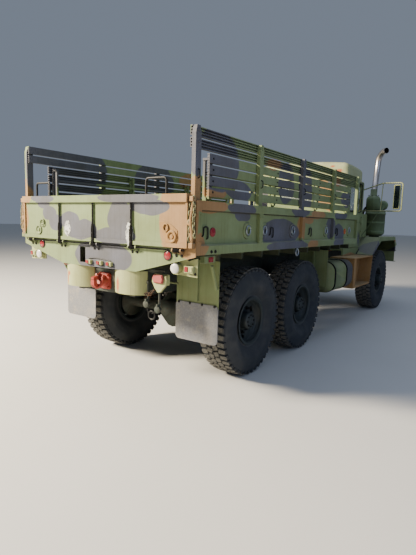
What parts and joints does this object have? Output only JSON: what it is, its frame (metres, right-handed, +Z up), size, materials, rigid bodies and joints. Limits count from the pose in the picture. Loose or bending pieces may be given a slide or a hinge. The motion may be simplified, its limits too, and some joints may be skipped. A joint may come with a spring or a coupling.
{
  "type": "six-wheel-drive military cargo truck",
  "caption": "Unarmed military cargo truck with a hard-roofed cab, tilting hood, steel cargo bed with slatted racks, folding troop seats and a drop tailgate.",
  "frame": {"origin": "on the ground under the centre of the overall box", "axes": "-Y towards the front bumper, +X towards the truck's left side, +Z up"},
  "size_m": [3.206, 7.7029, 3.195],
  "materials": {
    "camouflage_paint": "faded matt green, brown and black",
    "chassis_paint": "dirty matt paint",
    "floor_paint": "scraped matt paint with rust",
    "roof_paint": "faded matt paint with rust bloom",
    "wheel_paint": "matt paint, muddy",
    "spring_steel": "rusty oiled steel",
    "engine_iron": "painted casting",
    "radiator_core": "matt black fins",
    "lamp_glass": "fluted lens",
    "glass": "clear, dusty",
    "black_plastic": "moulded",
    "seat_cloth": "coated olive cloth",
    "bare_steel": "bare heat-stained steel",
    "red_lens": "moulded lens",
    "grey_rubber": "weathered grey",
    "red_oxide": "worn red primer",
    "tyre": "dusty rubber"
  },
  "bodies": {
    "chassis": {"chassis_frame": "chassis_paint", "front_bumper": "camouflage_paint", "leaf_springs": "spring_steel", "front_axle": "chassis_paint", "rear_axles": "chassis_paint", "engine_block": "engine_iron", "radiator": "radiator_core", "driveline": "chassis_paint", "fenders": "camouflage_paint", "headlamps": "lamp_glass", "cab_floor": "camouflage_paint", "cab_rear_wall": "camouflage_paint", "cab_cowl": "camouflage_paint", "windshield_frame": "camouflage_paint", "cab_glass": "glass", "cab_roof": "roof_paint", "dashboard": "camouflage_paint", "cab_seat_frames": "camouflage_paint", "seat_cushions": "seat_cloth", "mirrors": "camouflage_paint", "air_cleaner": "camouflage_paint", "exhaust_stack": "bare_steel", "fuel_tank": "camouflage_paint", "step_boxes": "camouflage_paint", "air_tanks": "camouflage_paint", "bed_floor": "floor_paint", "bed_side_left": "camouflage_paint", "bed_side_right": "camouflage_paint", "bed_headboard": "camouflage_paint", "racks": "camouflage_paint", "rear_sill": "camouflage_paint", "tail_lamps": "red_lens", "splash_guards": "camouflage_paint", "mud_flaps": "grey_rubber", "pintle_hook": "red_oxide", "bumperettes": "camouflage_paint"},
    "hood": {"hood": "camouflage_paint"},
    "door_left": {"door_left": "camouflage_paint"},
    "door_right": {"door_right": "camouflage_paint"},
    "tailgate": {"tailgate": "camouflage_paint"},
    "troop_seat_left": {"troop_seat_left": "camouflage_paint"},
    "troop_seat_right": {"troop_seat_right": "camouflage_paint"},
    "seat_legs_left": {"seat_legs_left": "camouflage_paint"},
    "seat_legs_right": {"seat_legs_right": "camouflage_paint"},
    "steering_wheel": {"steering_wheel": "black_plastic"},
    "knuckle_left": {"steering_knuckle_left": "chassis_paint"},
    "knuckle_right": {"steering_knuckle_right": "chassis_paint"},
    "wheel_front_left": {"wheel_front_left": "wheel_paint", "tyre_front_left": "tyre"},
    "wheel_front_right": {"wheel_front_right": "wheel_paint", "tyre_front_right": "tyre"},
    "wheel_middle_left": {"wheel_middle_left": "wheel_paint", "tyre_middle_left": "tyre"},
    "wheel_middle_right": {"wheel_middle_right": "wheel_paint", "tyre_middle_right": "tyre"},
    "wheel_rear_left": {"wheel_rear_left": "wheel_paint", "tyre_rear_left": "tyre"},
    "wheel_rear_right": {"wheel_rear_right": "wheel_paint", "tyre_rear_right": "tyre"}
  },
  "joints": [
    {"name": "hood_tilt", "type": "hinge", "parent": "chassis", "child": "hood", "pos_m": [0, -3.6755, 1.2143], "axis": [1, 0, 0], "range_deg": [0, 70]},
    {"name": "door_left_swing", "type": "hinge", "parent": "chassis", "child": "door_left", "pos_m": [0.913, -1.8235, 1.8], "axis": [0, 0, -1], "range_deg": [0, 65]},
    {"name": "door_right_swing", "type": "hinge", "parent": "chassis", "child": "door_right", "pos_m": [-0.913, -1.8235, 1.8], "axis": [0, 0, 1], "range_deg": [0, 65]},
    {"name": "tailgate_drop", "type": "hinge", "parent": "chassis", "child": "tailgate", "pos_m": [0, 3.8185, 1.452], "axis": [-1, 0, 0], "range_deg": [0, 90]},
    {"name": "seat_left_fold", "type": "hinge", "parent": "chassis", "child": "troop_seat_left", "pos_m": [1.104, 1.6075, 1.909], "axis": [0, -1, 0], "range_deg": [0, 90]},
    {"name": "seat_right_fold", "type": "hinge", "parent": "chassis", "child": "troop_seat_right", "pos_m": [-1.104, 1.6075, 1.909], "axis": [0, 1, 0], "range_deg": [0, 90]},
    {"name": "legs_left_fold", "type": "hinge", "parent": "troop_seat_left", "child": "seat_legs_left", "pos_m": [1.074, 1.6075, 2.2485], "axis": [0, -1, 0], "range_deg": [-90, 0]},
    {"name": "legs_right_fold", "type": "hinge", "parent": "troop_seat_right", "child": "seat_legs_right", "pos_m": [-1.074, 1.6075, 2.2485], "axis": [0, 1, 0], "range_deg": [-90, 0]},
    {"name": "steering_wheel_turn", "type": "hinge", "parent": "chassis", "child": "steering_wheel", "pos_m": [0.52, -1.63058, 1.94456], "axis": [0, 0.5736, 0.8192], "continuous": true},
    {"name": "steer_left", "type": "hinge", "parent": "chassis", "child": "knuckle_left", "pos_m": [0.735, -2.7515, 0.61], "axis": [0, 0, 1], "range_deg": [-30, 30]},
    {"name": "steer_right", "type": "hinge", "parent": "chassis", "child": "knuckle_right", "pos_m": [-0.735, -2.7515, 0.61], "axis": [0, 0, 1], "range_deg": [-30, 30]},
    {"name": "roll_front_left", "type": "hinge", "parent": "knuckle_left", "child": "wheel_front_left", "pos_m": [0.922, -2.7515, 0.61], "axis": [1, 0, 0], "continuous": true},
    {"name": "roll_front_right", "type": "hinge", "parent": "knuckle_right", "child": "wheel_front_right", "pos_m": [-0.922, -2.7515, 0.61], "axis": [1, 0, 0], "continuous": true},
    {"name": "roll_middle_left", "type": "hinge", "parent": "chassis", "child": "wheel_middle_left", "pos_m": [0.922, 1.1095, 0.61], "axis": [1, 0, 0], "continuous": true},
    {"name": "roll_middle_right", "type": "hinge", "parent": "chassis", "child": "wheel_middle_right", "pos_m": [-0.922, 1.1095, 0.61], "axis": [1, 0, 0], "continuous": true},
    {"name": "roll_rear_left", "type": "hinge", "parent": "chassis", "child": "wheel_rear_left", "pos_m": [0.922, 2.4815, 0.61], "axis": [1, 0, 0], "continuous": true},
    {"name": "roll_rear_right", "type": "hinge", "parent": "chassis", "child": "wheel_rear_right", "pos_m": [-0.922, 2.4815, 0.61], "axis": [1, 0, 0], "continuous": true}
  ],
  "couplings": [
    {"joint": "legs_left_fold", "follows": "seat_left_fold", "ratio": -1},
    {"joint": "legs_right_fold", "follows": "seat_right_fold", "ratio": -1},
    {"joint": "steer_right", "follows": "steer_left", "ratio": 1}
  ]
}
